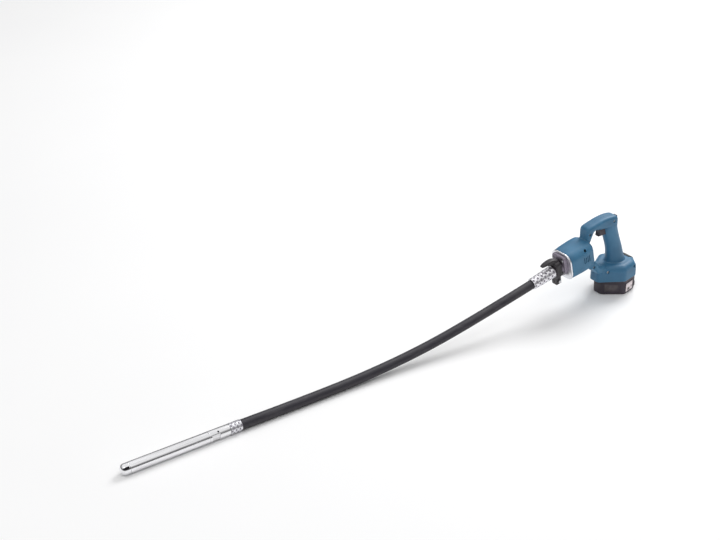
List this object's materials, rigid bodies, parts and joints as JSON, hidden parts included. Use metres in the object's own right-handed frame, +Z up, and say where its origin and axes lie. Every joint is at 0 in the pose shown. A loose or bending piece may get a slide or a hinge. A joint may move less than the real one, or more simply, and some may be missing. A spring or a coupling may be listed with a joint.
{
  "type": "concrete vibrator",
  "caption": "Cordless poker vibrator: a D-handled power unit standing on its battery pack drives an eccentric weight in a slim steel head through a flexible hose.",
  "frame": {"origin": "middle of the battery pack's underside, where the power unit stands on the ground", "axes": "+Z up; +X from the poker head at the hose's far end towards the rear of the handle; +Y towards the right hand of somebody who holds the grip and faces along the hose"},
  "size_m": [1.3965, 0.0962, 0.203],
  "materials": {
    "polished_steel": "ground and polished",
    "brushed_steel": "machined",
    "bright_aluminium": "bright, rolled",
    "cast_metal": "die cast, dark grey",
    "black_rubber": "matt moulded",
    "black_paint": "satin black",
    "teal_plastic": "fine textured moulding",
    "dark_plastic": "fine textured moulding",
    "label_film": "blank printed film",
    "copper": "bare copper",
    "carbon": "pressed carbon",
    "ferrite": "sintered ferrite",
    "cell_sleeve": "shrink sleeve"
  },
  "bodies": {
    "battery_pack": {"battery_case": "dark_plastic", "battery_cover": "dark_plastic", "cell_pack": "cell_sleeve", "battery_terminal_plus": "copper", "battery_terminal_minus": "copper", "battery_label": "label_film"},
    "power_unit": {"bearing_box": "cast_metal", "bearing_box_screw_1": "brushed_steel", "bearing_box_screw_2": "brushed_steel", "bearing_box_screw_3": "brushed_steel", "bearing_box_screw_4": "brushed_steel", "carbon_brush_left": "carbon", "carbon_brush_right": "carbon", "clamp_screw": "brushed_steel", "end_bell": "dark_plastic", "flange_ring": "bright_aluminium", "flexible_core": "brushed_steel", "front_ferrule": "bright_aluminium", "head_bearing_front": "brushed_steel", "head_bearing_rear": "brushed_steel", "head_connector": "polished_steel", "head_oil_seal": "black_rubber", "head_tip": "polished_steel", "head_tube": "polished_steel", "hook_clamp": "black_paint", "hose_cover": "black_rubber", "housing_left": "teal_plastic", "housing_right": "teal_plastic", "housing_screw_1": "brushed_steel", "housing_screw_2": "brushed_steel", "housing_screw_3": "brushed_steel", "housing_screw_4": "brushed_steel", "housing_screw_5": "brushed_steel", "housing_screw_6": "brushed_steel", "housing_screw_7": "brushed_steel", "motor_bearing": "brushed_steel", "motor_can": "brushed_steel", "motor_magnet_left": "ferrite", "motor_magnet_right": "ferrite", "foot_bumper": "black_rubber", "rear_bumper": "dark_plastic", "rear_ferrule": "bright_aluminium", "spindle_bearing_front": "brushed_steel", "spindle_bearing_rear": "brushed_steel", "switch_block": "dark_plastic", "terminal_block": "dark_plastic"},
    "release_button_left_body": {"release_button_left": "dark_plastic"},
    "release_button_right_body": {"release_button_right": "dark_plastic"},
    "armature": {"armature_core": "brushed_steel", "armature_shaft": "brushed_steel", "commutator": "copper", "cooling_fan": "dark_plastic", "drive_spindle": "brushed_steel"},
    "head_rotor": {"eccentric_rotor": "brushed_steel"},
    "trigger_body": {"trigger": "dark_plastic"},
    "lock_button_body": {"lock_button": "dark_plastic"}
  },
  "joints": [
    {"name": "battery_slide", "type": "slide", "parent": "battery_pack", "child": "power_unit", "axis": [0, 0, 1], "range_m": [0, 0.052]},
    {"name": "motor_spin", "type": "hinge", "parent": "power_unit", "child": "armature", "pos_m": [-0.164, 0, 0.1117], "axis": [0.9763, 0, 0.2164], "continuous": true},
    {"name": "head_spin", "type": "hinge", "parent": "power_unit", "child": "head_rotor", "pos_m": [-1.238, 0, 0.0125], "axis": [1, 0, 0], "continuous": true},
    {"name": "trigger_pull", "type": "slide", "parent": "power_unit", "child": "trigger_body", "axis": [1, 0, 0], "range_m": [0, 0.007], "stiffness_N_per_m": 400, "springref_m": -0.004},
    {"name": "lock_button_press", "type": "slide", "parent": "power_unit", "child": "lock_button_body", "axis": [0, -1, 0], "range_m": [0, 0.0025], "stiffness_N_per_m": 500, "springref_m": -0.002},
    {"name": "release_button_left_press", "type": "slide", "parent": "battery_pack", "child": "release_button_left_body", "axis": [0, 1, 0], "range_m": [0, 0.003], "stiffness_N_per_m": 600, "springref_m": -0.002},
    {"name": "release_button_right_press", "type": "slide", "parent": "battery_pack", "child": "release_button_right_body", "axis": [0, -1, 0], "range_m": [0, 0.003], "stiffness_N_per_m": 600, "springref_m": -0.002}
  ],
  "couplings": [
    {"joint": "head_spin", "follows": "motor_spin", "ratio": 1}
  ]
}
